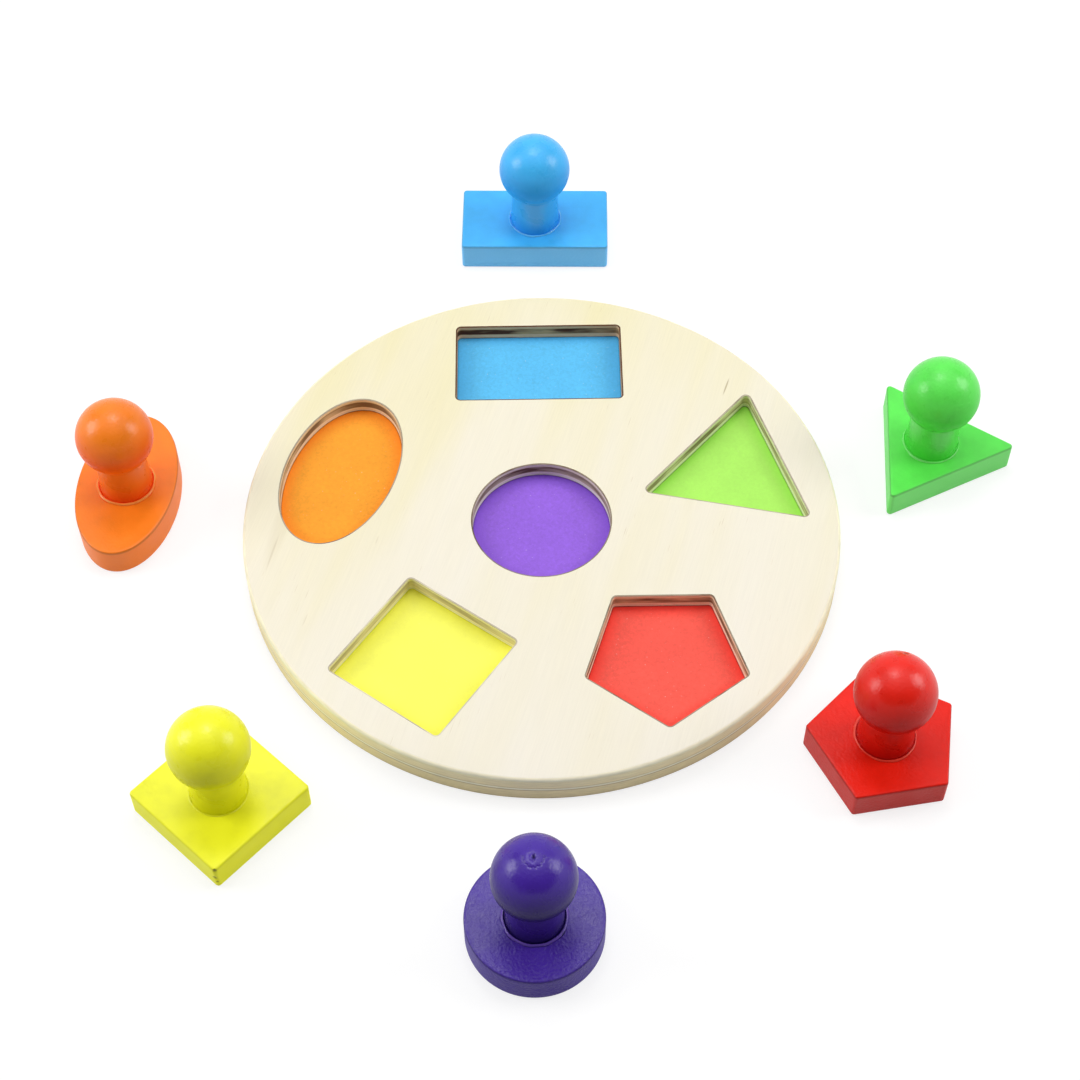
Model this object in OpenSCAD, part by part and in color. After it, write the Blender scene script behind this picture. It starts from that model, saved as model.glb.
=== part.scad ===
// Round wooden peg puzzle: a board of two glued plywood discs with six coloured recesses,
// and six painted blocks with turned ball knobs, standing on the table round the board.
// Millimetres, +Z up. The origin is the centre of the board's underside, on the table,
// with +X to the right and +Y away from the person who sits at the board.

/* [Board] */
// Diameter of the round board
board_d = 200; // [190:1:260]
// Thickness of the plain lower disc
base_board_t = 6; // [4:0.5:10]
// Thickness of the upper disc, which the recesses are cut right through
top_board_t = 6; // [5.5:0.5:10]
// Radius of the sanded rounding along the board's two outer edges
rim_round_r = 1.2; // [0.4:0.1:2]
// Wood left between the rim and the outermost point of a recess
rim_margin = 9.6; // [6:0.2:12]
// Radius of the cutter that made the recesses, which rounds their corners
cutter_r = 1.5; // [0.5:0.1:3]
// Thickness of the coat of colour on the floor of a recess
floor_t = 0.1; // [0.05:0.01:0.14]

/* [Blocks] */
// Long side of the rectangle
rectangle_l = 54; // [44:0.5:60]
// Short side of the rectangle
rectangle_w = 29.4; // [24:0.2:34]
// Side of the triangle
triangle_side = 50.3; // [46:0.1:56]
// Long axis of the oval
oval_l = 59.3; // [50:0.1:64]
// Short axis of the oval
oval_w = 33.7; // [26:0.1:36]
// Diameter of the round block
circle_d = 42.4; // [34:0.2:48]
// Side of the square
square_side = 39.6; // [32:0.2:42]
// Side of the pentagon
pentagon_side = 29.4; // [24:0.2:31]
// Thickness of every block
block_t = 11; // [9:0.5:16]
// Radius of a block's upright corners
block_corner_r = 1.2; // [1:0.1:3]
// Radius of the softened edges round a block's faces
block_edge_r = 0.7; // [0.3:0.1:0.9]
// Play between a block and its recess, all round
piece_gap = 2; // [0.5:0.1:3]

/* [Knobs] */
// Diameter of the ball
ball_d = 25.6; // [22:0.2:30]
// Height of the ball's centre above the block
ball_rise = 25.3; // [22:0.1:32]
// Diameter of the stem's waist
waist_d = 17; // [14:0.1:17.4]
// Height of the waist above the block
waist_h = 11; // [8:0.5:13]
// Diameter of the stem's foot, where it stands on the block
foot_d = 18.3; // [17.8:0.1:20]
// Rounding of the foot's edge
foot_edge_r = 0.5; // [0.2:0.1:0.8]
// Diameter of the spigot that is turned below the foot
spigot_d = 8; // [6:0.5:10]
// Length of the spigot
spigot_l = 7; // [5:0.5:8]
// Chamfer round the spigot's end
spigot_chamfer = 0.6; // [0.3:0.1:1]
// Room for glue round the spigot
glue_gap = 0.1; // [0.05:0.05:0.2]
// Room for glue under the spigot's end
glue_pool = 0.6; // [0.2:0.1:0.8]

/* [Pieces on the table] */
// Distance from the board's rim to the rectangle's middle
rectangle_away = 40.1; // [30:0.1:80]
// Distance from the board's rim to the triangle's middle
triangle_away = 38.2; // [32:0.1:80]
// Distance from the board's rim to the oval's middle
oval_away = 42.2; // [32:0.1:80]
// Distance from the board's rim to the round block's middle
circle_away = 45.2; // [30:0.1:80]
// Distance from the board's rim to the square's middle
square_away = 42.6; // [30:0.1:80]
// Distance from the board's rim to the pentagon's middle
pentagon_away = 36.1; // [30:0.1:80]
// Bearing of the rectangle from the board's centre, in degrees
rectangle_bearing = 90.2; // [80:0.1:100]
// Bearing of the triangle
triangle_bearing = 13.2; // [3:0.1:23]
// Bearing of the oval
oval_bearing = 172.5; // [162:0.1:182]
// Bearing of the round block
circle_bearing = -91.6; // [-102:0.1:-82]
// Bearing of the square
square_bearing = -135; // [-145:0.1:-125]
// Bearing of the pentagon
pentagon_bearing = -38.6; // [-48:0.1:-28]
// Angle that the rectangle is turned by where it stands
rectangle_angle = 88.7; // [0:0.1:180]
// Angle of the triangle
triangle_angle = 55.3; // [0:0.1:120]
// Angle of the oval
oval_angle = -5.7; // [-90:0.1:90]
// Angle of the square
square_angle = 46.3; // [0:0.1:90]
// Angle of the pentagon
pentagon_angle = 62.9; // [0:0.1:72]

/* [Hidden] */
$fn = 96;
// Points along a rounded corner of an outline
corner_steps = 6;
// Points round the oval
oval_steps = 96;
// Layers in the rounding of a block's edge
edge_steps = 4;
// Points round the large circle that draws in the waist
waist_steps = 360;
// Overrun of every cut past the face that it leaves through, and of a join into its neighbour
overrun = 1;

board_r = board_d / 2;
board_t = base_board_t + top_board_t;
circle_recess_d = circle_d + 2 * piece_gap;
foot_r = foot_d / 2;
waist_r = waist_d / 2;
spigot_r = spigot_d / 2;

// The waist is one shallow arc from the foot up into the ball
waist_sag = foot_r - waist_r;
waist_arc_r = (waist_h * waist_h + waist_sag * waist_sag) / (2 * waist_sag);

// Number of sides of each shape that has corners
side_counts = [["rectangle", 4], ["triangle", 3], ["square", 4], ["pentagon", 5]];

// Recesses round the central one, in order, and the bearing of the first from the board's centre
ring = ["rectangle", "oval", "square", "pentagon", "triangle"];
first_bearing = 90;
bearing_step = 360 / len(ring);

// Distance of each loose piece beyond the rim
stand_distances = [
    ["rectangle", rectangle_away], ["triangle", triangle_away], ["oval", oval_away],
    ["circle", circle_away], ["square", square_away], ["pentagon", pentagon_away]
];
// Bearing of each loose piece from the board's centre, and the angle that it is turned by
stand_angles = [
    ["rectangle", rectangle_bearing, rectangle_angle], ["triangle", triangle_bearing, triangle_angle],
    ["oval", oval_bearing, oval_angle], ["circle", circle_bearing, 0],
    ["square", square_bearing, square_angle], ["pentagon", pentagon_bearing, pentagon_angle]
];

blue = "#3f9fe8";
green = "#55d94a";
orange = "#f97420";
purple = "#42209a";
yellow = "#f3f22a";
red = "#dc2418";
floor_blue = "#66c2f4";
floor_green = "#b2f26c";
floor_orange = "#fba438";
floor_purple = "#9868dc";
floor_yellow = "#fafb6c";
floor_red = "#fa6254";
plywood = "#f3ebcb";
plywood_pale = "#f7f1d8";

// Value that a table of rows holds under a name, in a column
function looked_up(table, name, column) = [for (row = table) if (row[0] == name) row[column]][0];

// Half the size of a shape from its middle to its outward side
function half_across(shape) =
    shape == "rectangle" ? rectangle_w / 2 :
    shape == "triangle" ? triangle_side / 2 / tan(60) :
    shape == "square" ? square_side / 2 :
    shape == "pentagon" ? pentagon_side / 2 / tan(36) :
    oval_w / 2;

// Half the length of a shape's outward side, when the shape has grown on every side
function half_along(shape, grow) =
    shape == "rectangle" ? rectangle_l / 2 + grow :
    (half_across(shape) + grow) * tan(180 / looked_up(side_counts, shape, 1));

// Corners of an outline with the given distance from the middle to its outward side
function box_corners(across, along) =
    [[across, along], [-across, along], [-across, -along], [across, -along]];
function regular_corners(n, across) =
    [for (i = [0 : n - 1]) let (a = 360 / n * (i + 0.5)) across / cos(180 / n) * [cos(a), sin(a)]];

// The same corners, each with an arc of radius r round it
function rounded(corners, r) =
    let (n = len(corners), turn = 360 / n)
    [for (i = [0 : n - 1])
        let (p = corners[i], side = p - corners[(i + n - 1) % n], start = atan2(side[1], side[0]) - 90)
        for (k = [0 : corner_steps])
            let (a = start + turn * k / corner_steps) p + r * [cos(a), sin(a)]];

// An ellipse with half axes a and b, moved outward by grow along its own normals
function grown_ellipse(a, b, grow) =
    [for (k = [0 : oval_steps - 1])
        let (t = 360 * k / oval_steps, c = [b * cos(t), a * sin(t)], m = norm(c))
        [a * cos(t) + grow * c[0] / m, b * sin(t) + grow * c[1] / m]];

// Outline of a shape, its outward side towards +X, grown on every side, with corners of radius r
function outline(shape, grow, r) =
    shape == "oval" ? grown_ellipse(oval_w / 2, oval_l / 2, grow) :
    shape == "rectangle" ?
        rounded(box_corners(half_across(shape) + grow - r, half_along(shape, grow) - r), r) :
    rounded(regular_corners(looked_up(side_counts, shape, 1), half_across(shape) + grow - r), r);

// Distance of a recess from the board's centre: its outermost point keeps the margin to the rim
function recess_distance(shape) =
    let (reach = board_r - rim_margin)
    shape == "oval" ? reach - half_across(shape) - piece_gap :
    sqrt(pow(reach, 2) - pow(half_along(shape, piece_gap), 2)) - half_across(shape) - piece_gap;

// Puts a shape where its recess is: the round one in the middle, the others in a ring
module at_recess(shape) {
    if (shape == "circle")
        children();
    else
        rotate(first_bearing + bearing_step * search([shape], ring)[0])
            translate([recess_distance(shape), 0, 0])
                children();
}

// Puts a piece where it stands on the table
module at_stand(shape) {
    bearing = looked_up(stand_angles, shape, 1);
    translate((board_r + looked_up(stand_distances, shape, 1)) * [cos(bearing), sin(bearing), 0])
        rotate(looked_up(stand_angles, shape, 2))
            children();
}

// Solid with the outline of a recess
module recess_solid(shape, h) {
    if (shape == "circle")
        cylinder(h = h, d = circle_recess_d);
    else
        linear_extrude(h)
            polygon(outline(shape, piece_gap, cutter_r));
}

// Half section of a disc whose lower outer edge is rounded
module rounded_disc_section(r, t, edge_r) {
    translate([0, edge_r])
        square([r, t - edge_r]);
    square([r - edge_r, edge_r]);
    translate([r - edge_r, edge_r])
        circle(edge_r);
}

// Lower plywood disc, with its underside edge rounded
module base_board() {
    color(plywood)
        rotate_extrude()
            rounded_disc_section(board_r, base_board_t, rim_round_r);
}

// Upper plywood disc, with its face edge rounded and the six recesses cut right through
module top_board() {
    color(plywood_pale)
        difference() {
            translate([0, 0, board_t])
                mirror([0, 0, 1])
                    rotate_extrude()
                        rounded_disc_section(board_r, top_board_t, rim_round_r);
            for (shape = concat(["circle"], ring))
                at_recess(shape)
                    translate([0, 0, base_board_t - overrun])
                        recess_solid(shape, top_board_t + 2 * overrun);
        }
}

// Coat of colour on the bottom of a recess
module recess_floor(shape, tint) {
    color(tint)
        at_recess(shape)
            translate([0, 0, base_board_t])
                recess_solid(shape, floor_t);
}

// Body of a block before its hole is bored. The round one is two halves with a rounded edge each,
// and the others are layers that draw in towards both faces.
module block_body(shape) {
    if (shape == "circle")
        for (side = [0, 1])
            translate([0, 0, side * block_t])
                mirror([0, 0, side])
                    rotate_extrude()
                        rounded_disc_section(circle_d / 2, block_t / 2, block_edge_r);
    else
        hull()
            for (k = [0 : edge_steps]) {
                inset = block_edge_r * (1 - cos(90 * k / edge_steps));
                low = block_edge_r * (1 - sin(90 * k / edge_steps));
                translate([0, 0, low])
                    linear_extrude(block_t - 2 * low)
                        polygon(outline(shape, -inset, block_corner_r - inset));
            }
}

// Painted block with the blind hole for its knob's spigot
module block(shape, tint) {
    color(tint)
        at_stand(shape)
            difference() {
                block_body(shape);
                translate([0, 0, block_t - spigot_l - glue_pool])
                    cylinder(h = spigot_l + glue_pool + overrun, r = spigot_r + glue_gap);
            }
}

// Half section of the stem: straight sides that one shallow arc draws in to the waist
module stem_section() {
    difference() {
        square([foot_r, ball_rise]);
        translate([waist_r + waist_arc_r, waist_h])
            circle(waist_arc_r, $fn = waist_steps);
        translate([foot_r - foot_edge_r, 0])
            difference() {
                square(foot_edge_r);
                translate([0, foot_edge_r])
                    circle(foot_edge_r);
            }
    }
}

// Turned knob: ball, waisted stem and the spigot below its foot, all of one piece
module knob(shape, tint) {
    color(tint)
        at_stand(shape)
            translate([0, 0, block_t]) {
                translate([0, 0, ball_rise])
                    sphere(d = ball_d);
                rotate_extrude()
                    stem_section();
                translate([0, 0, -spigot_l]) {
                    cylinder(h = spigot_chamfer, r1 = spigot_r - spigot_chamfer, r2 = spigot_r);
                    translate([0, 0, spigot_chamfer])
                        cylinder(h = spigot_l - spigot_chamfer + overrun, r = spigot_r);
                }
            }
}

base_board();
top_board();
recess_floor("rectangle", floor_blue);  // rectangle_floor
recess_floor("triangle", floor_green);  // triangle_floor
recess_floor("oval", floor_orange);  // oval_floor
recess_floor("circle", floor_purple);  // circle_floor
recess_floor("square", floor_yellow);  // square_floor
recess_floor("pentagon", floor_red);  // pentagon_floor
block("rectangle", blue);  // rectangle_block
block("triangle", green);  // triangle_block
block("oval", orange);  // oval_block
block("circle", purple);  // circle_block
block("square", yellow);  // square_block
block("pentagon", red);  // pentagon_block
knob("rectangle", blue);  // rectangle_knob
knob("triangle", green);  // triangle_knob
knob("oval", orange);  // oval_knob
knob("circle", purple);  // circle_knob
knob("square", yellow);  // square_knob
knob("pentagon", red);  // pentagon_knob
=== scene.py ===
import math

import bmesh
import bpy
from mathutils import Matrix, Vector, geometry, noise


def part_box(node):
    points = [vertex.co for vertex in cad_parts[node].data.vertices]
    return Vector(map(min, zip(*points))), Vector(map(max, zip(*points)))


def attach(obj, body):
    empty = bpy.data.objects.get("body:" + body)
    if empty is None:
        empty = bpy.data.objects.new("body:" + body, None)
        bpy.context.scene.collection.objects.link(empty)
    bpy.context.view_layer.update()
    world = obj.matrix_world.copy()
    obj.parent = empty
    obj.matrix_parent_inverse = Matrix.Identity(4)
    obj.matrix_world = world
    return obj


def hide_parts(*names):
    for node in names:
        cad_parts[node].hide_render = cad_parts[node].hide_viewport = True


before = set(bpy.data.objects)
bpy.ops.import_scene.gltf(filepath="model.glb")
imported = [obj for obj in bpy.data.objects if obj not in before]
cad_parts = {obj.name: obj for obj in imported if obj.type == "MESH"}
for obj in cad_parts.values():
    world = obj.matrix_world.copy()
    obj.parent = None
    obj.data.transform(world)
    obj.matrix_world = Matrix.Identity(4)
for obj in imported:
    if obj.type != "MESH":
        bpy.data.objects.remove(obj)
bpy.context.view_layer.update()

# The table and its light. The toy is photographed from above on a white laminate table, between two soft
# boxes that stand left and right of it, with one small lamp overhead. The room's ceiling is grey, so
# that the gloss of the paint has something darker than the white walls to show.
MM = 0.001


def linear(code):
    """Linear RGBA of an sRGB hex colour."""
    parts = [int(code[i:i + 2], 16) / 255 for i in (1, 3, 5)]
    return [p / 12.92 if p <= 0.04045 else ((p + 0.055) / 1.055) ** 2.4 for p in parts] + [1]


def add(tree, kind, inputs=None, stops=(), **settings):
    """Adds a node. Its settings are properties, its inputs values or other nodes' outputs. The stops of a
    colour ramp are places with their colours, each a hex code or a grey value."""
    made = tree.nodes.new("ShaderNode" + kind)
    for name, value in settings.items():
        setattr(made, name, value)
    for name, value in (inputs or {}).items():
        if isinstance(value, bpy.types.NodeSocket):
            tree.links.new(value, made.inputs[name])
        else:
            made.inputs[name].default_value = value
    if stops:
        elements = made.color_ramp.elements
        elements[0].position, elements[-1].position = stops[0][0], stops[-1][0]
        for position, _ in stops[1:-1]:
            elements.new(position)
        for element, (_, tone) in zip(elements, stops):
            element.color = linear(tone) if isinstance(tone, str) else (tone, tone, tone, 1)
    return made


def empty_material(name):
    """A material with nothing but its output, and that output."""
    made = bpy.data.materials.new(name)
    made.use_nodes = True
    made.node_tree.nodes.clear()
    return made, made.node_tree, add(made.node_tree, "OutputMaterial")


def seen_directly(tree):
    """1 for what the camera sees, straight or through gloss or glass, and 0 for the light's own way."""
    path = add(tree, "LightPath")
    straight = add(tree, "Math", {0: path.outputs["Is Camera Ray"], 1: path.outputs["Is Glossy Ray"]},
                   operation="MAXIMUM").outputs[0]
    return add(tree, "Math", {0: straight, 1: path.outputs["Is Transmission Ray"]},
               operation="MAXIMUM").outputs[0]


def sheet(name, corners, material):
    """A flat stage piece, such as the table top, that isn't part of the toy."""
    mesh = bpy.data.meshes.new(name)
    mesh.from_pydata([Vector(c) for c in corners], [], [range(len(corners))])
    mesh.materials.append(material)
    made = bpy.data.objects.new(name, mesh)
    bpy.context.scene.collection.objects.link(made)
    return made


# White laminate. Near the toy a part of its white is its own light and the rest is lit, so that the soft
# shadow stays on it. Farther out it is all its own, so that the table meets the white room with no edge.
# The light that it throws back on the toy falls off towards the front, below the camera.
laminate, tree, output = empty_material("white_laminate")
place = add(tree, "TexCoord").outputs["Object"]
out = add(tree, "VectorMath", {0: place}, operation="LENGTH").outputs["Value"]
toy_reach = 0.3
all_white = 0.7
own_share = add(tree, "MapRange", {0: out, 1: toy_reach, 2: all_white, 3: 0.76, 4: 1.0}).outputs[0]
own = add(tree, "Emission", {"Strength": own_share})
lit_share = add(tree, "MapRange", {0: out, 1: toy_reach, 2: all_white, 3: linear("#929292")[0], 4: 0.0})
lit = add(tree, "BsdfDiffuse", {"Color": lit_share.outputs[0]})
seen = add(tree, "AddShader", {0: lit.outputs[0], 1: own.outputs[0]})
along = add(tree, "SeparateXYZ", {0: place}).outputs[1]
front_edge = -0.34
toy_front = -0.12
thrown_back = add(tree, "MapRange", {0: along, 1: front_edge, 2: toy_front, 3: 0.1, 4: 0.88}).outputs[0]
lighting = add(tree, "BsdfDiffuse", {"Color": thrown_back})
tree.links.new(add(tree, "MixShader", {0: seen_directly(tree), 1: lighting.outputs[0],
                                       2: seen.outputs[0]}).outputs[0], output.inputs[0])

table_half = 4.0
table_drop = 0.1 * MM
sheet("table_top", [(x * table_half, y * table_half, -table_drop)
                    for x, y in ((-1, -1), (1, -1), (1, 1), (-1, 1))], laminate)

# Light thrown at the ceiling comes back from it softly, most of it from above and behind the toy
lit_ceiling, tree, output = empty_material("lit_ceiling")
ceiling_height = 1.5
brightest = (0, 0.7, ceiling_height)
glow_reach = 1.8
away = add(tree, "VectorMath", {0: add(tree, "TexCoord").outputs["Object"], 1: brightest},
           operation="DISTANCE").outputs["Value"]
glow = add(tree, "MapRange", {0: away, 1: 0.0, 2: glow_reach, 3: 1.9, 4: 0.12}).outputs[0]
tree.links.new(add(tree, "Emission", {"Strength": glow}).outputs[0], output.inputs[0])
ceiling = sheet("ceiling", [(x, y, ceiling_height) for x, y in ((-3, -4), (3, -4), (3, 1.9), (-3, 1.9))],
                lit_ceiling)
ceiling.visible_camera = False

room = bpy.data.worlds.new("white_room")
bpy.context.scene.world = room
room.use_nodes = True
tree = room.node_tree
tree.nodes.clear()
shown = add(tree, "Background", {"Color": linear("#ffffff"), "Strength": 1.0})
lighting = add(tree, "Background", {"Color": linear("#ffffff"), "Strength": 0.2})
mixed = add(tree, "MixShader", {0: seen_directly(tree), 1: lighting.outputs[0], 2: shown.outputs[0]})
tree.links.new(mixed.outputs[0], add(tree, "OutputWorld").inputs[0])


def soft_box(name, toward, away, size, watts):
    """A square lamp that looks at the toy from a direction."""
    lamp = bpy.data.lights.new(name, "AREA")
    lamp.shape = "SQUARE"
    lamp.size = size
    lamp.energy = watts
    made = bpy.data.objects.new(name, lamp)
    made.location = Vector(toward).normalized() * away
    made.rotation_euler = Vector(toward).to_track_quat("Z", "Y").to_euler()
    bpy.context.scene.collection.objects.link(made)


# Their places come from the three highlights on each ball
soft_box("soft_box_left", (-0.84, 0.05, 0.54), away=1.1, size=0.5, watts=4.7)
soft_box("soft_box_right", (0.81, 0.08, 0.58), away=1.1, size=0.5, watts=4.2)
soft_box("lamp_overhead", (-0.05, 0.27, 0.96), away=1.2, size=0.3, watts=2.0)

# The camera stands before the board and looks down on it, a little turned and tilted
camera_place = Vector((-3.4, -426.9, 594.3)) * MM
camera_down = math.radians(54.31)
camera_turn = math.radians(-0.38)
camera_roll = math.radians(-0.49)
lens = bpy.data.cameras.new("camera")
lens.lens = 71.8
lens.sensor_width = 36
lens.clip_start = 0.01
camera = bpy.data.objects.new("camera", lens)
camera.matrix_world = (Matrix.Translation(camera_place) @ Matrix.Rotation(camera_turn, 4, "Z")
                       @ Matrix.Rotation(math.pi / 2 - camera_down, 4, "X")
                       @ Matrix.Rotation(camera_roll, 4, "Z"))
bpy.context.scene.collection.objects.link(camera)
bpy.context.scene.camera = camera
bpy.context.scene.view_settings.view_transform = "Standard"

# The lower disc. It is plain three-ply sheet with pale basswood faces and a tan core, sawn round with
# the upper disc after gluing, so that both share one rim, and sanded to a soft edge underneath.
board_low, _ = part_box("base_board")
_, board_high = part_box("top_board")
joint_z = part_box("base_board")[1].z
board_r = (board_high.x - board_low.x) / 2
rim_round = 1.2 * MM
grain_angle = math.radians(73)


def outline_of(node):
    """The outline of a node seen from above, as points round it. Every shape of this toy is convex."""
    points = [v.co.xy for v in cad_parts[node].data.vertices]
    ring = [points[i] for i in geometry.convex_hull_2d(points)]
    ring = [p for i, p in enumerate(ring) if (p - ring[i - 1]).length > 0.02 * MM]
    area = sum(ring[i - 1].x * p.y - p.x * ring[i - 1].y for i, p in enumerate(ring))
    return ring if area > 0 else ring[::-1]


def divided(ring, step):
    """The same outline with its long sides divided, so that no side is longer than the step."""
    made = []
    for i, p in enumerate(ring):
        q = ring[(i + 1) % len(ring)]
        count = max(1, math.ceil((q - p).length / step))
        made += [p.lerp(q, k / count) for k in range(count)]
    return made


def drawn_in(ring, by):
    """The outline moved inward, side by side."""
    made = []
    for i, p in enumerate(ring):
        before = (p - ring[i - 1]).normalized()
        after = (ring[(i + 1) % len(ring)] - p).normalized()
        bisector = Vector((before.y + after.y, -before.x - after.x)).normalized()
        reach = max(0.5, bisector.dot(Vector((after.y, -after.x))))
        made.append(p - bisector * by / reach)
    return made


def at_height(ring, z):
    """The outline's points at a height."""
    return [Vector((p.x, p.y, z)) for p in ring]


def circle(radius, count):
    """A round outline about the origin."""
    return [Vector((radius * math.cos(a), radius * math.sin(a)))
            for a in (2 * math.pi * k / count for k in range(count))]


def skinned(name, rings, material, place=(0, 0, 0), sharp=math.radians(35)):
    """A closed skin over rings of points, from the first ring to the last, each end closed to its middle."""
    count = len(rings[0])
    points = [p for ring in rings for p in ring]
    faces = []
    for k in range(len(rings) - 1):
        for i in range(count):
            j = (i + 1) % count
            faces.append((k * count + i, k * count + j, (k + 1) * count + j, (k + 1) * count + i))
    for k, turned in ((0, True), (len(rings) - 1, False)):
        points.append(sum(rings[k], Vector()) / count)
        for i in range(count):
            a, b = k * count + i, k * count + (i + 1) % count
            faces.append((b, a, len(points) - 1) if turned else (a, b, len(points) - 1))
    mesh = bpy.data.meshes.new(name)
    mesh.from_pydata(points, [], faces)
    mesh.materials.append(material)
    mesh.shade_smooth()
    mesh.set_sharp_from_angle(angle=sharp)
    made = bpy.data.objects.new(name, mesh)
    made.location = place
    bpy.context.scene.collection.objects.link(made)
    weighted = made.modifiers.new("flat_faces_stay_flat", "WEIGHTED_NORMAL")
    weighted.keep_sharp = True
    return made


def along_grain(tree, angle, length, width):
    """Object coordinates turned to the grain, in which one unit is one figure long and wide."""
    place = add(tree, "TexCoord").outputs["Object"]
    turned = add(tree, "Mapping", {"Vector": place, "Rotation": (0, 0, -angle)}).outputs[0]
    return add(tree, "Mapping", {"Vector": turned, "Scale": (1 / length, 1 / width, 1 / width)}).outputs[0]


def laid_over(tree, name, share, colour, over, how="MIX"):
    """The colour with another laid over it by its share, where the mesh bears the mark of this name."""
    marked = add(tree, "Attribute", attribute_name=name).outputs["Fac"]
    amount = add(tree, "Math", {0: marked, 1: share}, operation="MULTIPLY").outputs[0]
    return add(tree, "Mix", {0: amount, 6: colour, 7: over}, data_type="RGBA", blend_type=how).outputs[2]


# Most of a noise lies between these two, the low and the high end of a MapRange
noise_span = {1: 0.3, 2: 0.7}
# Dark streaks of mineral in the face veneer: place (mm), direction, half length and width, and strength
face_streaks = [(-86.5, 2.0, 76.5, 24.0, 3.4, 0.09), (-89.5, -12.4, 76.5, 8.6, 0.45, 0.2),
                (65.5, 56.5, 70.7, 4.6, 0.35, 0.6),
                (-77.3, -39.3, 72.0, 3.0, 0.3, 0.15), (-54.9, -7.7, 74.0, 2.2, 0.3, 0.15)]


def plywood_face(name):
    """Basswood veneer, sanded: pale cream, with faint long fibres, broad warm bands and a few short dark
    pores, and no gloss."""
    material, tree, output = empty_material(name)
    broad = along_grain(tree, grain_angle, 150 * MM, 22 * MM)
    bands = add(tree, "TexNoise", {"Vector": broad, "Scale": 1.0, "Detail": 2.0}).outputs[0]
    calm = add(tree, "MapRange", {0: bands, **noise_span, 3: 0.42, 4: 0.58}).outputs[0]
    place = add(tree, "TexCoord").outputs["Object"]
    across = add(tree, "SeparateXYZ", {0: place}).outputs[1]
    leaning = add(tree, "MapRange", {0: across, 1: -0.1, 2: 0.1, 3: 0.1, 4: -0.14}).outputs[0]
    warmth = add(tree, "Math", {0: calm, 1: leaning}, operation="ADD").outputs[0]
    cream = add(tree, "ValToRGB", {0: warmth},
                stops=[(0.3, "#efe6b8"), (0.5, "#f2ebd6"), (0.68, "#f4eee2")]).outputs[0]
    fine = along_grain(tree, grain_angle, 16 * MM, 0.5 * MM)
    fibres = add(tree, "TexNoise", {"Vector": fine, "Scale": 1.0, "Detail": 3.0}).outputs[0]
    fibre_tone = add(tree, "MapRange", {0: fibres, **noise_span, 3: 0.975, 4: 1.015}).outputs[0]
    toned = add(tree, "Mix", {0: 1.0, 6: cream, 7: fibre_tone}, data_type="RGBA",
                blend_type="MULTIPLY").outputs[2]
    # The pores are there only in patches
    short = along_grain(tree, grain_angle, 7 * MM, 0.35 * MM)
    pores = add(tree, "TexNoise", {"Vector": short, "Scale": 1.0, "Detail": 1.0}).outputs[0]
    pore_there = add(tree, "MapRange", {0: pores, 1: 0.72, 2: 0.80, 3: 0.0, 4: 1.0}).outputs[0]
    wide = along_grain(tree, grain_angle, 30 * MM, 12 * MM)
    patches = add(tree, "TexNoise", {"Vector": wide, "Scale": 1.0, "Detail": 1.0}).outputs[0]
    patch_there = add(tree, "MapRange", {0: patches, 1: 0.5, 2: 0.65, 3: 0.0, 4: 0.4}).outputs[0]
    dark = add(tree, "Math", {0: pore_there, 1: patch_there}, operation="MULTIPLY").outputs[0]
    coloured = add(tree, "Mix", {0: dark, 6: toned, 7: linear("#b99d6e")}, data_type="RGBA").outputs[2]
    for x, y, angle, half_length, half_width, strength in face_streaks:
        near = add(tree, "Mapping", {"Vector": place, "Location": (x * MM, y * MM, 0),
                                     "Rotation": (0, 0, math.radians(angle)),
                                     "Scale": (half_length * MM, half_width * MM, 1)}, vector_type="TEXTURE")
        far = add(tree, "VectorMath", {0: near.outputs[0]}, operation="LENGTH").outputs["Value"]
        there = add(tree, "MapRange", {0: far, 1: 0.5, 2: 1.0, 3: strength, 4: 0.0}).outputs[0]
        coloured = add(tree, "Mix", {0: there, 6: coloured, 7: linear("#a08852")},
                       data_type="RGBA").outputs[2]
    relief = add(tree, "Bump", {"Strength": 0.25, "Distance": 0.05 * MM, "Height": fibres}).outputs[0]
    shader = add(tree, "BsdfPrincipled", {"Base Color": coloured, "Roughness": 0.62,
                                          "Specular IOR Level": 0.35, "Normal": relief})
    tree.links.new(shader.outputs[0], output.inputs[0])
    return material


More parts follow.
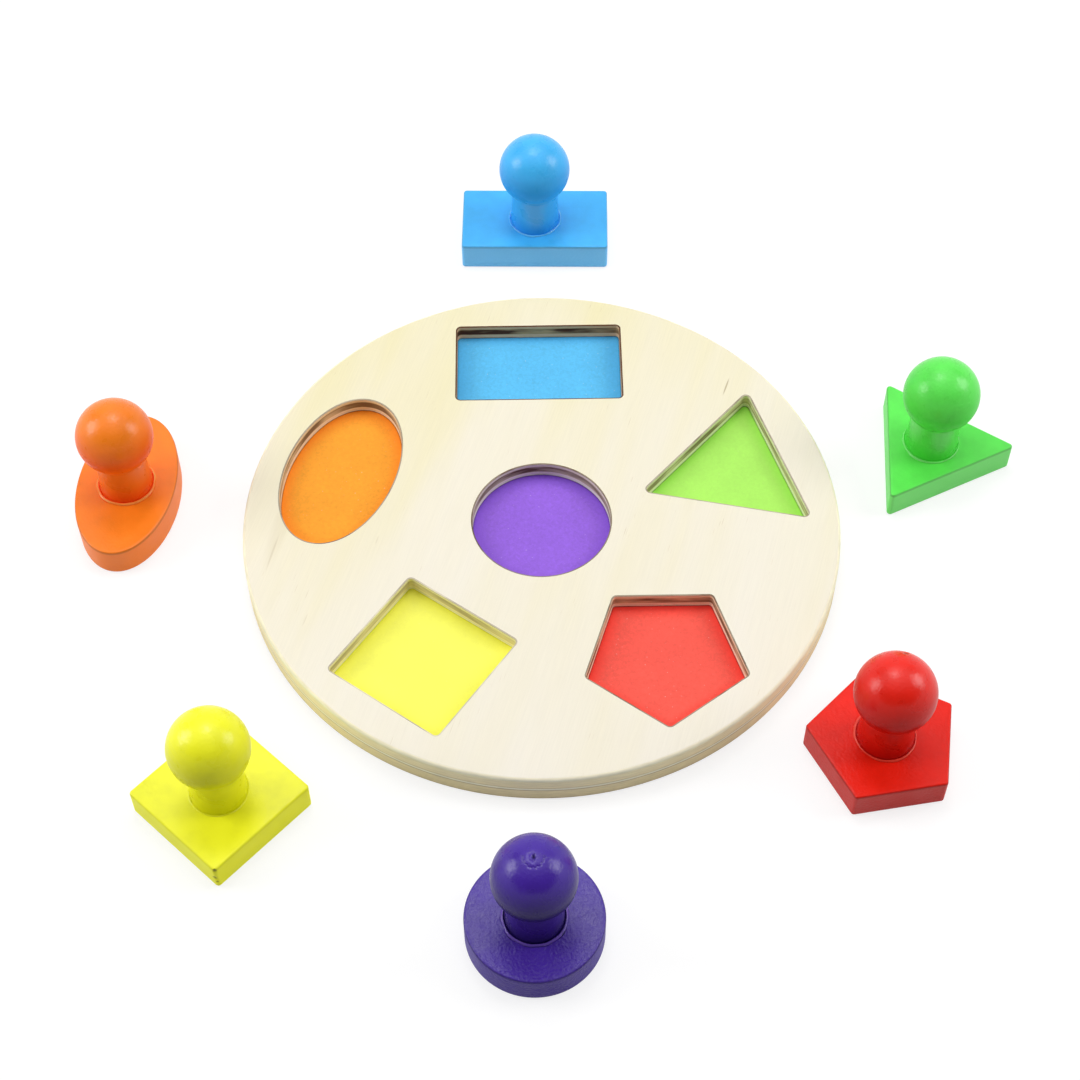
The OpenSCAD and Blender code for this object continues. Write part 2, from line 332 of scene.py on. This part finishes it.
def plywood_edge(name, burnt):
    """Sawn edge of the two discs, by its share of the board's height: tan end grain, a pale ply on each
    side of the glue line halfway up, and a pale face ply on top. Where a cutter ran hot, in the recesses,
    the core and the lip are burnt in streaks and the foot is clean. In one recess all of it is browned."""
    material, tree, output = empty_material(name)
    place = add(tree, "TexCoord").outputs["Object"]
    z = add(tree, "SeparateXYZ", {0: place}).outputs[2]
    share = add(tree, "MapRange", {0: z, 1: 0.0, 2: board_high.z, 3: 0.0, 4: 1.0}).outputs[0]
    plies = add(tree, "ValToRGB", {0: share}, stops=[
        (0.0, "#8c7850"), (0.06, "#cbb784"), (0.14, "#f2e2b2"), (0.44, "#f8eabc"), (0.48, "#c6b282"),
        (0.505, "#fffce2"), (0.555, "#fffce2"), (0.58, "#d8c896"), (0.61, "#fbeec2"),
        (0.88, "#fff5ca"), (0.94, "#fffbdc"), (1.0, "#fff6da")]).outputs[0]
    end_place = add(tree, "Mapping", {
        "Vector": place, "Scale": (1 / (5 * MM), 1 / (5 * MM), 1 / (0.45 * MM))}).outputs[0]
    ends = add(tree, "TexNoise", {"Vector": end_place, "Scale": 1.0, "Detail": 3.0}).outputs[0]
    end_tone = add(tree, "MapRange", {0: ends, **noise_span, 3: 0.88, 4: 1.06}).outputs[0]
    colour = add(tree, "Mix", {0: 1.0, 6: plies, 7: end_tone}, data_type="RGBA",
                 blend_type="MULTIPLY").outputs[2]
    if burnt:
        in_core = add(tree, "ValToRGB", {0: share}, stops=[
            (0.515, 0.9), (0.53, 0.0), (0.645, 0.0), (0.68, 1.0), (0.87, 1.0), (0.9, 0.12),
            (0.978, 0.12), (0.986, 1.0)]).outputs[0]
        streak_place = add(tree, "Mapping", {
            "Vector": place, "Scale": (1 / (16 * MM), 1 / (16 * MM), 1 / (3 * MM))}).outputs[0]
        streaks = add(tree, "TexNoise", {"Vector": streak_place, "Scale": 1.0, "Detail": 2.5}).outputs[0]
        streak = add(tree, "MapRange", {0: streaks, 1: 0.38, 2: 0.62, 3: 0.35, 4: 1.05}).outputs[0]
        heat = add(tree, "Attribute", attribute_name="scorched").outputs["Fac"]
        on_lip = add(tree, "Math", {0: share, 1: 0.985}, operation="GREATER_THAN").outputs[0]
        singed = add(tree, "Math", {0: on_lip, 1: heat}, operation="MULTIPLY").outputs[0]
        streak = add(tree, "Math", {0: streak, 1: singed}, operation="MAXIMUM").outputs[0]
        foot = add(tree, "ValToRGB", {0: share},
                   stops=[(0.52, 0.0), (0.53, 1.0), (0.64, 1.0), (0.67, 0.0)]).outputs[0]
        clean = add(tree, "Math", {0: foot, 1: heat}, operation="MULTIPLY").outputs[0]
        colour = add(tree, "Mix", {0: clean, 6: colour, 7: linear("#fffae4")}, data_type="RGBA").outputs[2]
        hot_streak = add(tree, "Math", {0: streak, 1: heat}, operation="MULTIPLY").outputs[0]
        scorch = add(tree, "Math", {0: in_core, 1: hot_streak}, operation="MULTIPLY").outputs[0]
        colour = add(tree, "Mix", {0: scorch, 6: colour, 7: linear("#5a3c20")}, data_type="RGBA").outputs[2]
        colour = laid_over(tree, "browned", 1.0, colour, linear("#ffd3b8"), "MULTIPLY")
    relief = add(tree, "Bump", {"Strength": 0.5, "Distance": 0.12 * MM, "Height": ends}).outputs[0]
    shader = add(tree, "BsdfPrincipled", {"Base Color": colour, "Roughness": 0.75,
                                          "Specular IOR Level": 0.25, "Normal": relief})
    tree.links.new(shader.outputs[0], output.inputs[0])
    return material


basswood = plywood_face("sanded_basswood_veneer")
sawn_edge = plywood_edge("sawn_plywood_edge", burnt=False)
burnt_edge = plywood_edge("scorched_plywood_edge", burnt=True)

round_count = 288
round_steps = 6


def rounded_edge(ring, radius, z_face, up):
    """Rings that lead from a face over a rounded edge to the side, which lies below or above the face."""
    made = []
    for k in range(round_steps + 1):
        a = math.pi / 2 * k / round_steps
        inset, drop = radius * (1 - math.sin(a)), radius * (1 - math.cos(a))
        made.append(at_height(drawn_in(ring, inset), z_face - up * drop))
    return made


def by_place(made, pick):
    """Gives each face the material whose place in the list pick(centre, normal) returns."""
    for face in made.data.polygons:
        face.material_index = pick(face.center, face.normal)


rim = circle(board_r, round_count)
under_rings = [at_height(circle(board_r * share, round_count), 0) for share in (0.3, 0.6, 0.9)]
side_z = [joint_z * share for share in (0.4, 0.6, 0.8, 1.0)]
lower = skinned(
    "lower_disc",
    under_rings + rounded_edge(rim, rim_round, 0, -1) + [at_height(rim, z) for z in side_z]
    + [at_height(circle(board_r * share, round_count), joint_z) for share in (0.9, 0.6, 0.3)], basswood)
lower.data.materials.append(sawn_edge)
by_place(lower, lambda centre, normal: 0 if abs(normal.z) > 0.99 else 1)
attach(lower, "board")
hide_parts("base_board")

# The upper disc. The same sheet, with six recesses cut right through it before it is glued to the lower
# one, and its face edge sanded round. The cutter leaves the recess edges crisp and their walls scorched.
shapes = ["rectangle", "triangle", "oval", "circle", "square", "pentagon"]
hole_break = 0.45 * MM
hole_break_h = 0.15 * MM

mesh = bpy.data.meshes.new("upper_disc")
build = bmesh.new()


def looped(points, height):
    """A closed loop of edges at a height."""
    corners = [build.verts.new((p.x, p.y, height)) for p in points]
    return corners, [build.edges.new((c, corners[(i + 1) % len(corners)])) for i, c in enumerate(corners)]


def wall(rings, outward):
    """Faces between loops of equal counts, the normals pointing outward or into the hole."""
    for upper, under in zip(rings, rings[1:]):
        for i in range(len(upper)):
            j = (i + 1) % len(upper)
            corners = (upper[i], under[i], under[j], upper[j])
            build.faces.new(corners if outward else corners[::-1])


# How hot the cutter ran in each recess, from 0 for clean wood to 1 for dark brown. In the hottest one
# all of the wall is browned.
cutter_heat = {"rectangle": 1.0, "triangle": 0.75, "oval": 0.8, "circle": 0.9, "square": 0.5,
               "pentagon": 0.85}
heat_layer = build.verts.layers.float.new("scorched")
brown_layer = build.verts.layers.float.new("browned")
rim_rings = []
for ring in rounded_edge(rim, rim_round, board_high.z, 1):
    rim_rings.append(looped([p.xy for p in ring], ring[0].z))
side = board_high.z - rim_round - joint_z
for share in (0.75, 0.5, 0.25, 0.0):
    rim_rings.append(looped(rim, joint_z + side * share))
top_edges = list(rim_rings[0][1])
low_edges = list(rim_rings[-1][1])
wall([corners for corners, _ in rim_rings], True)
for shape in shapes:
    edge = divided(outline_of(shape + "_floor"), 2 * MM)
    rings = [looped(drawn_in(edge, -hole_break), board_high.z), looped(edge, board_high.z - hole_break_h)]
    for share in (0.75, 0.5, 0.25, 0.0):
        rings.append(looped(edge, joint_z + (board_high.z - joint_z) * share))
    for corners, _ in rings:
        for corner in corners:
            corner[heat_layer] = cutter_heat[shape]
            corner[brown_layer] = 1.0 if cutter_heat[shape] == 1.0 else 0.0
    top_edges += rings[0][1]
    low_edges += rings[-1][1]
    wall([corners for corners, _ in rings], False)
for edges, up in ((top_edges, 1), (low_edges, -1)):
    made = bmesh.ops.triangle_fill(build, use_beauty=True, use_dissolve=False, edges=edges,
                                   normal=(0, 0, up))
    for face in made["geom"]:
        if isinstance(face, bmesh.types.BMFace) and face.normal.z * up < 0:
            face.normal_flip()
build.normal_update()
build.to_mesh(mesh)
build.free()
mesh.materials.append(basswood)
mesh.materials.append(sawn_edge)
mesh.materials.append(burnt_edge)
mesh.shade_smooth()
mesh.set_sharp_from_angle(angle=math.radians(25))
upper = bpy.data.objects.new("upper_disc", mesh)
bpy.context.scene.collection.objects.link(upper)
upper.modifiers.new("flat_faces_stay_flat", "WEIGHTED_NORMAL").keep_sharp = True
by_place(upper, lambda centre, normal: 0 if abs(normal.z) > 0.99
         else 1 if centre.xy.length > board_r * 0.95 else 2)
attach(upper, "board")
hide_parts("top_board")

# The recess floors. Each is a coat of matt colour, rolled on the lower disc's bare wood through a mask,
# paler than the enamel of its block. The wood's fibres still show in it as a fine mottle.
# The colour by which each shape goes, on its block and in its recess
hues = {"rectangle": "blue", "triangle": "green", "oval": "orange", "circle": "purple",
        "square": "yellow", "pentagon": "red"}
floor_colours = {
    "rectangle": "#5cc0f4", "triangle": "#b0f166", "oval": "#ffa52c",
    "circle": "#9664df", "square": "#fcfc66", "pentagon": "#fc5c4e"}


def deepened(code, power=1.0, strength=1.0):
    """The colour made deeper by a power above 1, or paler by one below it, and scaled by the strength. It
    gives painted shade, painted highlights, and the darkened colour of chips and pits.
    """
    return [strength * c ** power for c in linear(code)[:3]] + [1]


def matt_coat(name, code, evenness=0.0, line=0.35, line_power=1.0, fuller=0.45):
    """Water-based colour rolled on thinly: no gloss, a fibrous mottle a few tenths of a millimetre wide,
    drawn a little coarser so that it shows, and missed flecks, both less the evener it lies. Along the walls
    the colour is painted fuller and deeper, as painted shade, with a darker line of painted shade in the
    crease."""
    material, tree, output = empty_material(name)
    place = add(tree, "TexCoord").outputs["Object"]
    mottle = add(tree, "TexNoise", {"Vector": place, "Scale": 1 / (1.2 * MM), "Detail": 3.0,
                                    "Roughness": 0.65, "Distortion": 0.8}).outputs[0]
    fine_tone = add(tree, "MapRange", {0: mottle, **noise_span, 3: 0.9 + 0.1 * evenness,
                                       4: 1.08 - 0.08 * evenness}).outputs[0]
    clouds = add(tree, "TexNoise", {"Vector": place, "Scale": 1 / (9 * MM), "Detail": 2.0}).outputs[0]
    cloud_tone = add(tree, "MapRange", {0: clouds, **noise_span, 3: 0.97, 4: 1.03}).outputs[0]
    tone = add(tree, "Math", {0: fine_tone, 1: cloud_tone}, operation="MULTIPLY").outputs[0]
    colour = add(tree, "Mix", {0: 1.0, 6: linear(code), 7: tone}, data_type="RGBA",
                 blend_type="MULTIPLY").outputs[2]
    flecks = add(tree, "TexNoise", {"Vector": place, "Scale": 1 / (1.0 * MM), "Detail": 1.0}).outputs[0]
    missed = add(tree, "MapRange", {0: flecks, 1: 0.73, 2: 0.8, 3: 0.0, 4: 0.3 * (1 - evenness)}).outputs[0]
    colour = add(tree, "Mix", {0: missed, 6: colour, 7: linear("#f6f0e4")}, data_type="RGBA").outputs[2]
    # Painted shade: a band of fuller, deeper colour along the walls
    colour = laid_over(tree, "wall_shade_band", fuller, colour, deepened(code, 1.6))
    # Painted shade: a darker line in the crease along the walls
    colour = laid_over(tree, "wall_crease_shade", 0.85, colour, deepened(code, line_power, line))
    relief = add(tree, "Bump", {"Strength": 0.4, "Distance": 0.08 * MM, "Height": mottle}).outputs[0]
    shader = add(tree, "BsdfPrincipled", {"Base Color": colour, "Roughness": 0.7,
                                          "Specular IOR Level": 0.3, "Normal": relief})
    tree.links.new(shader.outputs[0], output.inputs[0])
    return material


def mark(made, name, values):
    """Marks a mesh for its material, with one value for each of its points."""
    made.data.attributes.new(name, "FLOAT", "POINT").data.foreach_set("value", values)


# How each coat came out, where it differs from the others, with the strength of its painted shade along the
# walls
coat_finish = {
    "triangle": {"evenness": 0.65}, "oval": {"fuller": 0.7}, "pentagon": {"fuller": 0.8},
    "square": {"evenness": 0.7, "line": 0.85, "line_power": 3.0}}
# Width of the line of painted shade in the crease along the walls
crease_shade_width = 0.5 * MM
for shape in shapes:
    low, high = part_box(shape + "_floor")
    edge = divided(outline_of(shape + "_floor"), 1.5 * MM)
    middle = sum(edge, Vector((0, 0))) / len(edge)
    near = [0, 0.25 * crease_shade_width, crease_shade_width, 2 * crease_shade_width]
    inmost = drawn_in(edge, near[-1])
    rings = [at_height(edge, low.z)] + [at_height(drawn_in(edge, step), high.z) for step in near]
    rings += [at_height([p.lerp(middle, share) for p in inmost], high.z) for share in (0.2, 0.4, 0.6, 0.8)]
    rolled = matt_coat("matt_colour_" + shape, floor_colours[shape], **coat_finish.get(shape, {}))
    coat = skinned("colour_" + shape, rings, rolled)
    # By ring, from the underside's over the edge to the middle, and then the two middle points
    depth = [0] + near + 4 * [near[-1]]
    crease_shaded = [max(0.0, 1 - d / crease_shade_width) for d in depth]
    mark(coat, "wall_crease_shade", [value for value in crease_shaded for _ in edge] + [0, 0])
    # Painted shade: the band of deeper colour along the walls, about a millimetre wide
    wall_shade_band = [1.0] * 4 + [0.8] + [0.0] * 4
    mark(coat, "wall_shade_band", [value for value in wall_shade_band for _ in edge] + [1.0, 0.0])
    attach(coat, "board")
    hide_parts(shape + "_floor")

# The blocks. Each is sawn from a hardwood board, its corners and edges softened by tumbling, bored for
# its knob, and sprayed with satin enamel after gluing, thick enough to hide all but a hint of the grain.
paints = {
    "rectangle": "#46bcff", "triangle": "#60ec56", "oval": "#ff841a",
    "circle": "#42209e", "square": "#ffff24", "pentagon": "#f01e0a"}
block_edge = 0.7 * MM
bore_r = 4.1 * MM
bore_depth = 7.6 * MM
# Brightness of the paint's own colour where it is darkened: by grime and bare wood in the chips, and as
# painted shade just below the blocks' top edges and in the pits of the crown marks
dirt_and_shade = 0.3


def sprayed(name, code):
    """Satin enamel sprayed on wood, in clouds of a fuller and a thinner coat: what block and knob have in
    common. Gives the material with its tree and output, and its colour and roughness so far."""
    material, tree, output = empty_material(name)
    place = add(tree, "TexCoord").outputs["Object"]
    clouds = add(tree, "TexNoise", {"Vector": place, "Scale": 1 / (7 * MM), "Detail": 3.0}).outputs[0]
    tone = add(tree, "MapRange", {0: clouds, **noise_span, 3: 0.93, 4: 1.05}).outputs[0]
    colour = add(tree, "Mix", {0: 1.0, 6: linear(code), 7: tone}, data_type="RGBA",
                 blend_type="MULTIPLY").outputs[2]
    sheen = add(tree, "MapRange", {0: clouds, **noise_span, 3: 0.24, 4: 0.33}).outputs[0]
    return material, tree, output, colour, sheen


def textured(tree, output, colour, sheen, gloss, grain, ridges, peel_depth):
    """Ends an enamel: an orange peel about a millimetre across, and the grain's ridges telegraphing
    through it."""
    place = add(tree, "TexCoord").outputs["Object"]
    peel = add(tree, "TexNoise", {"Vector": place, "Scale": 1 / (0.9 * MM), "Detail": 2.0}).outputs[0]
    peeled = add(tree, "Bump", {"Strength": 0.6, "Distance": peel_depth * MM, "Height": peel}).outputs[0]
    relief = add(tree, "Bump", {"Strength": 0.4, "Distance": ridges * MM, "Height": grain,
                                "Normal": peeled}).outputs[0]
    shader = add(tree, "BsdfPrincipled", {"Base Color": colour, "Roughness": sheen,
                                          "Specular IOR Level": gloss, "Normal": relief})
    tree.links.new(shader.outputs[0], output.inputs[0])


def block_enamel(name, code, grain_angle, peel_depth, side_shading_code, side_gloss, top_gloss):
    """Enamel on a block. On the sides it lies drier, and its colour there is painted light and shade. Where
    it is chipped off, grime has gone in, and just below the top edge it is darkened as painted shade."""
    material, tree, output, colour, sheen = sprayed(name, code)
    facing = add(tree, "SeparateXYZ", {0: add(tree, "NewGeometry").outputs["True Normal"]}).outputs[2]
    flat = add(tree, "Math", {0: facing}, operation="ABSOLUTE").outputs[0]
    steep = add(tree, "MapRange", {0: flat, 1: 0.3, 2: 0.9, 3: 1.0, 4: 0.0}).outputs[0]
    # Painted light and shade: the sides take a paler or deeper copy of the colour
    colour = add(tree, "Mix", {0: steep, 6: colour, 7: linear(side_shading_code)}, data_type="RGBA").outputs[2]
    # Grime and bare wood in the chips, and painted shade just below the top edge, darken the colour
    colour = laid_over(tree, "wear_and_shade", 1.0, colour, deepened(code, 1.0, dirt_and_shade))
    drier = add(tree, "MapRange", {0: steep, 3: 0.04, 4: 0.2}).outputs[0]
    sheen = add(tree, "Math", {0: sheen, 1: drier}, operation="ADD").outputs[0]
    gloss = add(tree, "MapRange", {0: steep, 3: top_gloss, 4: side_gloss}).outputs[0]
    place = along_grain(tree, grain_angle, 14 * MM, 0.9 * MM)
    grain = add(tree, "TexNoise", {"Vector": place, "Scale": 1.0, "Detail": 2.0}).outputs[0]
    textured(tree, output, colour, sheen, gloss, grain, 0.06, peel_depth)
    return material


def knob_axis(shape):
    """Where the axis of a piece's knob meets the table."""
    low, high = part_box(shape + "_knob")
    return Vector(((low.x + high.x) / 2, (low.y + high.y) / 2, 0))


def struck(made, chips, top, edge_shade):
    """Sinks small chips into a painted block and marks them, each given by place, radius and depth. The bare
    wood and grime in them are dark. Just below the top edge the colour is darkened, as painted shade."""
    wear_and_shade = []
    for point in made.data.vertices:
        below = (top - point.co.z) / block_edge
        # Painted shade: a darker band just below the top edge
        worn_or_shaded = edge_shade if 0.2 < below < 1.1 else 0.0
        for place, radius, depth in chips:
            away = (point.co - place).length / radius + 0.35 * noise.noise(point.co / (0.4 * MM))
            if away < 1:
                worn_or_shaded = max(worn_or_shaded, 1 - away)
                inward = Vector((-point.co.x, -point.co.y, 0)).normalized()
                point.co += inward * depth * min(1.0, 2 * (1 - away))
        wear_and_shade.append(min(1.0, 2 * worn_or_shaded))
    mark(made, "wear_and_shade", wear_and_shade)


# Three chips down the yellow block's front corner
front_corner = min(outline_of("square_block"), key=lambda p: p.y) - knob_axis("square").xy
corner_chips = [(Vector((front_corner.x, front_corner.y, 10.2 * MM)), 0.9 * MM, 0.3 * MM),
                (Vector((front_corner.x - 0.5 * MM, front_corner.y, 5.6 * MM)), 0.8 * MM, 0.25 * MM),
                (Vector((front_corner.x, front_corner.y, 3.2 * MM)), 0.5 * MM, 0.2 * MM)]
# The grain's angle in each block, the depth of its orange peel in millimetres, and how dark the painted
# shade just below the top edge is, from 0 to 0.5
block_grain = {"rectangle": 0.0, "triangle": 1.1, "oval": 1.5, "circle": 0.5, "square": 0.8,
               "pentagon": 2.0}
block_peel = {"rectangle": 0.15, "triangle": 0.1, "oval": 0.12, "circle": 0.42, "square": 0.08,
              "pentagon": 0.2}
top_edge_shade = {"rectangle": 0.2, "triangle": 0.2, "oval": 0.2, "circle": 0.25, "square": 0.07,
             "pentagon": 0.2}
# On the sides the colour is painted a shade paler or deeper, as painted light and shade, and the enamel has
# its own gloss: colour there, gloss there, and gloss on the top
side_shading = {
    "rectangle": ("#59c0ff", 1.0, 0.4), "triangle": ("#6fed68", 0.6, 0.4), "oval": ("#ff821e", 0.45, 0.4),
    "circle": ("#3e1e96", 0.25, 0.55), "square": ("#ffff24", 0.2, 0.4), "pentagon": ("#cf1c0a", 0.3, 0.22)}
for shape in shapes:
    low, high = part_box(shape + "_block")
    axis = knob_axis(shape)
    edge = divided([p - axis.xy for p in outline_of(shape + "_block")], 0.7 * MM)
    bore = [p.normalized() * bore_r for p in edge]
    under = [at_height([p * share for p in drawn_in(edge, block_edge)], 0) for share in (0.3, 0.6, 0.9)]
    sides = [at_height(edge, block_edge + (high.z - 2 * block_edge) * k / 20) for k in range(1, 20)]
    face = drawn_in(edge, block_edge)
    top = [at_height([p.lerp(q, share) for p, q in zip(face, bore)], high.z)
           for share in (0.04, 0.12, 0.25, 0.5, 0.75, 1.0)]
    hole = [at_height(bore, high.z - depth) for depth in (0.3 * MM, bore_depth)]
    paint = block_enamel("satin_enamel_" + hues[shape], paints[shape], block_grain[shape],
                         block_peel[shape], *side_shading[shape])
    block = skinned("block_" + shape, under + rounded_edge(edge, block_edge, 0, -1) + sides
                    + rounded_edge(edge, block_edge, high.z, 1)[::-1] + top + hole, paint, place=axis)
    struck(block, corner_chips if shape == "square" else [], high.z, top_edge_shade[shape])
    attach(block, shape + "_piece")
    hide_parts(shape + "_block")

# The knobs. Each is one turning: a ball on a nearly straight stem, with a spigot glued into the block.
# The enamel was sprayed over the joint too, and stands as a small bead round the stem's foot.
block_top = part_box("circle_block")[1].z
knob_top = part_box("circle_knob")[1].z
ball_r = (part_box("circle_knob")[1].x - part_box("circle_knob")[0].x) / 2
ball_rise = knob_top - ball_r - block_top
waist_r = 8.5 * MM
waist_z = 11 * MM
foot_r = 9.15 * MM
spigot_r = 4 * MM
spigot_depth = 7 * MM
spigot_chamfer = 0.6 * MM
bead_r = 10.2 * MM
bead_h = 0.75 * MM
bead_half = 0.6 * MM
turn_count = 160


def stem_radius(z):
    """Radius of the stem at a height above the block: one shallow arc, narrowest at the waist."""
    sag = foot_r - waist_r
    arc = (waist_z ** 2 + sag ** 2) / (2 * sag)
    return waist_r + arc - math.sqrt(arc ** 2 - (z - waist_z) ** 2)


def turning():
    """Half profile of a knob, from the spigot's end up to the crown."""
    # The spigot, the foot on the block, and the bead round it
    profile = [(spigot_r - spigot_chamfer, -spigot_depth), (spigot_r, -spigot_depth + spigot_chamfer),
               (spigot_r, -3 * MM), (spigot_r, 0), (7 * MM, 0), (bead_r, 0)]
    crest = bead_r - bead_half
    for k in range(1, 8):
        a = math.pi * k / 8
        profile.append((crest + bead_half * math.cos(a), bead_h * math.sin(a) + 0.1 * MM * k / 8))
    profile.append((stem_radius(0.3 * MM), 0.3 * MM))
    # The stem, up to where it runs into the ball, found to a tenth of a millimetre
    meeting = next(z * MM / 10 for z in range(100, 300)
                   if (z * MM / 10 - ball_rise) ** 2 + stem_radius(z * MM / 10) ** 2 < ball_r ** 2)
    profile += [(stem_radius(z), z) for z in (0.8 * MM + (meeting - 0.8 * MM) * k / 14 for k in range(15))]
    # The ball, with finer steps on its crown, where the purple one has its lathe mark
    start = math.asin((meeting - ball_rise) / ball_r)
    wide, fine, cap = 44, 26, math.radians(70)
    profile += [(ball_r * math.cos(a), ball_rise + ball_r * math.sin(a))
                for a in (start + (cap - start) * k / wide for k in range(1, wide + 1))]
    profile += [(ball_r * math.cos(a), ball_rise + ball_r * math.sin(a))
                for a in (cap + (math.pi / 2 - cap) * k / (fine + 1) for k in range(1, fine + 1))]
    return profile


def beaded(point, share, seed):
    """A point of the knob, set on the block. Round the foot the bead of enamel swells and thins."""
    radius = point.xy.length
    if foot_r * 1.02 < radius and 0 <= point.z < 0.9 * MM and radius < bead_r * 1.02:
        around = noise.noise(Vector((point.x, point.y, seed * 10 * MM)) / (4 * MM))
        out = (radius - foot_r) * (share * (0.9 + 0.5 * around))
        point = Vector((point.x, point.y, 0)) * ((foot_r + out) / radius) + Vector((0, 0, point.z * share))
    return point + Vector((0, 0, block_top))


def clamped(value):
    """The value held between 0 and 1."""
    return min(1.0, max(0.0, value))


def shading_at(point):
    """How much painted shade a point of the knob gets, deepest below the ball and at the stem's foot, how
    dull the ball is there, and how strong the painted highlight on the bead's crest is. Heights on the ball
    are counted in its radii from its middle."""
    height = point.z - block_top
    over = (height - ball_rise) / ball_r
    # On the bead: little painted shade, and a painted highlight along its crest
    if foot_r * 1.03 < point.xy.length < bead_r and 0.1 * MM < height < 0.9 * MM:
        return 0.1, 0.0, max(0.0, 0.35 + 0.5 * noise.noise(point / (6 * MM)))
    # Painted shade down the stem, deepest at its foot
    if over <= stem_top:
        return 0.35 + 0.65 * (1 - clamped(height / (7 * MM))), 0.0, 0.0
    lower_ball = clamped((shade_start - over) / shade_reach)
    to_stem = clamped((-0.2 - over) / 0.5)
    return 0.75 * lower_ball * (1 - 0.5 * to_stem), lower_ball, 0.0


def crown_mark(shape, out):
    """How deep a mark is sunk into a ball at a point given from its centre, and how dark: bare wood and
    painted shade.
    The purple crown has the lathe's centre hole with a torn ring before it, the red one a chip."""
    if out.z < ball_r * 0.3:
        return 0.0, 0.0
    if shape == "circle":
        # The hole is a little longer than wide. The outer ring is torn on the near side, the inner one on
        # the left.
        torn = noise.noise(out / (0.7 * MM)) * 0.5 * MM
        pit = max(0.0, 1 - math.hypot(out.x, out.y * 0.6) / (0.75 * MM))
        radius = math.hypot(out.x, out.y) + torn
        on_ring = max(0.0, 1 - abs(radius - 3.1 * MM) / (0.45 * MM)) if out.y < 0.6 * MM else 0.0
        inner = max(0.0, 1 - abs(radius - 1.5 * MM) / (0.4 * MM)) if out.x < 0.2 * MM else 0.0
        sunk = 0.7 * MM * pit + 0.16 * MM * on_ring + 0.12 * MM * inner
        return sunk, min(1.0, 1.4 * pit) + 0.25 * on_ring
    if shape == "pentagon":
        # High on the far side, a little to the right
        place = Vector((0.21, 0.63, 0.75)).normalized() * ball_r
        away = (out - place).length / (1.1 * MM) + 0.5 * noise.noise(out / (0.6 * MM))
        chip = max(0.0, 1 - away)
        return 0.3 * MM * min(1.0, 2 * chip), min(0.8, 1.6 * chip)
    return 0.0, 0.0


def knob_enamel(name, code, ridges, strength, power, share):
    """Enamel on a turned knob. Below the ball and down the stem the colour is painted deeper, as painted
    shade, and the ball is duller there. On the bead's crest it is painted paler, as a painted highlight."""
    material, tree, output, colour, sheen = sprayed(name, code)
    # Bare wood and painted shade darken the crown marks
    colour = laid_over(tree, "wear_and_shade", 1.0, colour, deepened(code, 1.0, dirt_and_shade))
    # Painted shade: the colour deepens below the ball and down the stem
    colour = laid_over(tree, "under", share, colour, deepened(code, power, strength))
    # Painted highlight: the bead's crest is painted paler
    colour = laid_over(tree, "bead_highlight", 1.0, colour, deepened(code, 0.45))
    dull = add(tree, "Attribute", attribute_name="dull").outputs["Fac"]
    gloss = add(tree, "MapRange", {0: dull, 1: 0.0, 2: 0.9, 3: 0.42, 4: 0.05}).outputs[0]
    # The knob was turned out of its stick a little askew, so that the grain leans
    place = add(tree, "TexCoord").outputs["Object"]
    leaning = add(tree, "Mapping", {"Vector": place, "Rotation": (0.12, 0.08, 0), "Scale": (
        1 / (7 * MM), 1 / (7 * MM), 1 / (0.8 * MM))}).outputs[0]
    grain = add(tree, "TexNoise", {"Vector": leaning, "Scale": 1.0, "Detail": 2.0}).outputs[0]
    textured(tree, output, colour, sheen, gloss, grain, ridges, 0.12)
    return material


# Share of the full bead that each piece has, and the height of the grain's ridges in millimetres
bead_share = {"rectangle": 0.7, "triangle": 0.7, "oval": 0.95, "circle": 1.0, "square": 0.45,
              "pentagon": 0.85}
knob_ridges = {"rectangle": 0.06, "triangle": 0.06, "oval": 0.12, "circle": 0.06, "square": 0.2,
               "pentagon": 0.06}
# The deeper colour of the painted shade: its strength, the power that deepens it, and its share where it is
# fullest
deeper = {
    "rectangle": (0.95, 1.7, 0.8), "triangle": (0.95, 1.4, 0.8), "oval": (1.0, 2.2, 0.8),
    "circle": (0.25, 1.4, 0.95), "square": (0.85, 1.6, 0.8), "pentagon": (0.65, 1.6, 0.9)}
# In the ball's radii from its middle: where the stem ends, and from where down, and over what height, the
# painted shade deepens
stem_top = -0.74
shade_start = 0.68
shade_reach = 0.75
profile = turning()
ball_middle = Vector((0, 0, block_top + ball_rise))
for shape in shapes:
    rings = [[beaded(Vector((r * p.x, r * p.y, z)), bead_share[shape], shapes.index(shape))
              for p in circle(1, turn_count)] for r, z in profile]
    paint = knob_enamel("turned_enamel_" + hues[shape], paints[shape], knob_ridges[shape], *deeper[shape])
    knob = skinned("knob_" + shape, rings, paint, place=knob_axis(shape), sharp=math.radians(40))
    shadings = zip(*[shading_at(point.co) for point in knob.data.vertices])
    for name, values in zip(("under", "dull", "bead_highlight"), shadings):
        mark(knob, name, values)
    wear_and_shade = []
    for point in knob.data.vertices:
        sunk, pit_darkness = crown_mark(shape, point.co - ball_middle)
        point.co -= sunk * (point.co - ball_middle).normalized()
        wear_and_shade.append(pit_darkness)
    mark(knob, "wear_and_shade", wear_and_shade)
    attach(knob, shape + "_piece")
    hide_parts(shape + "_knob")
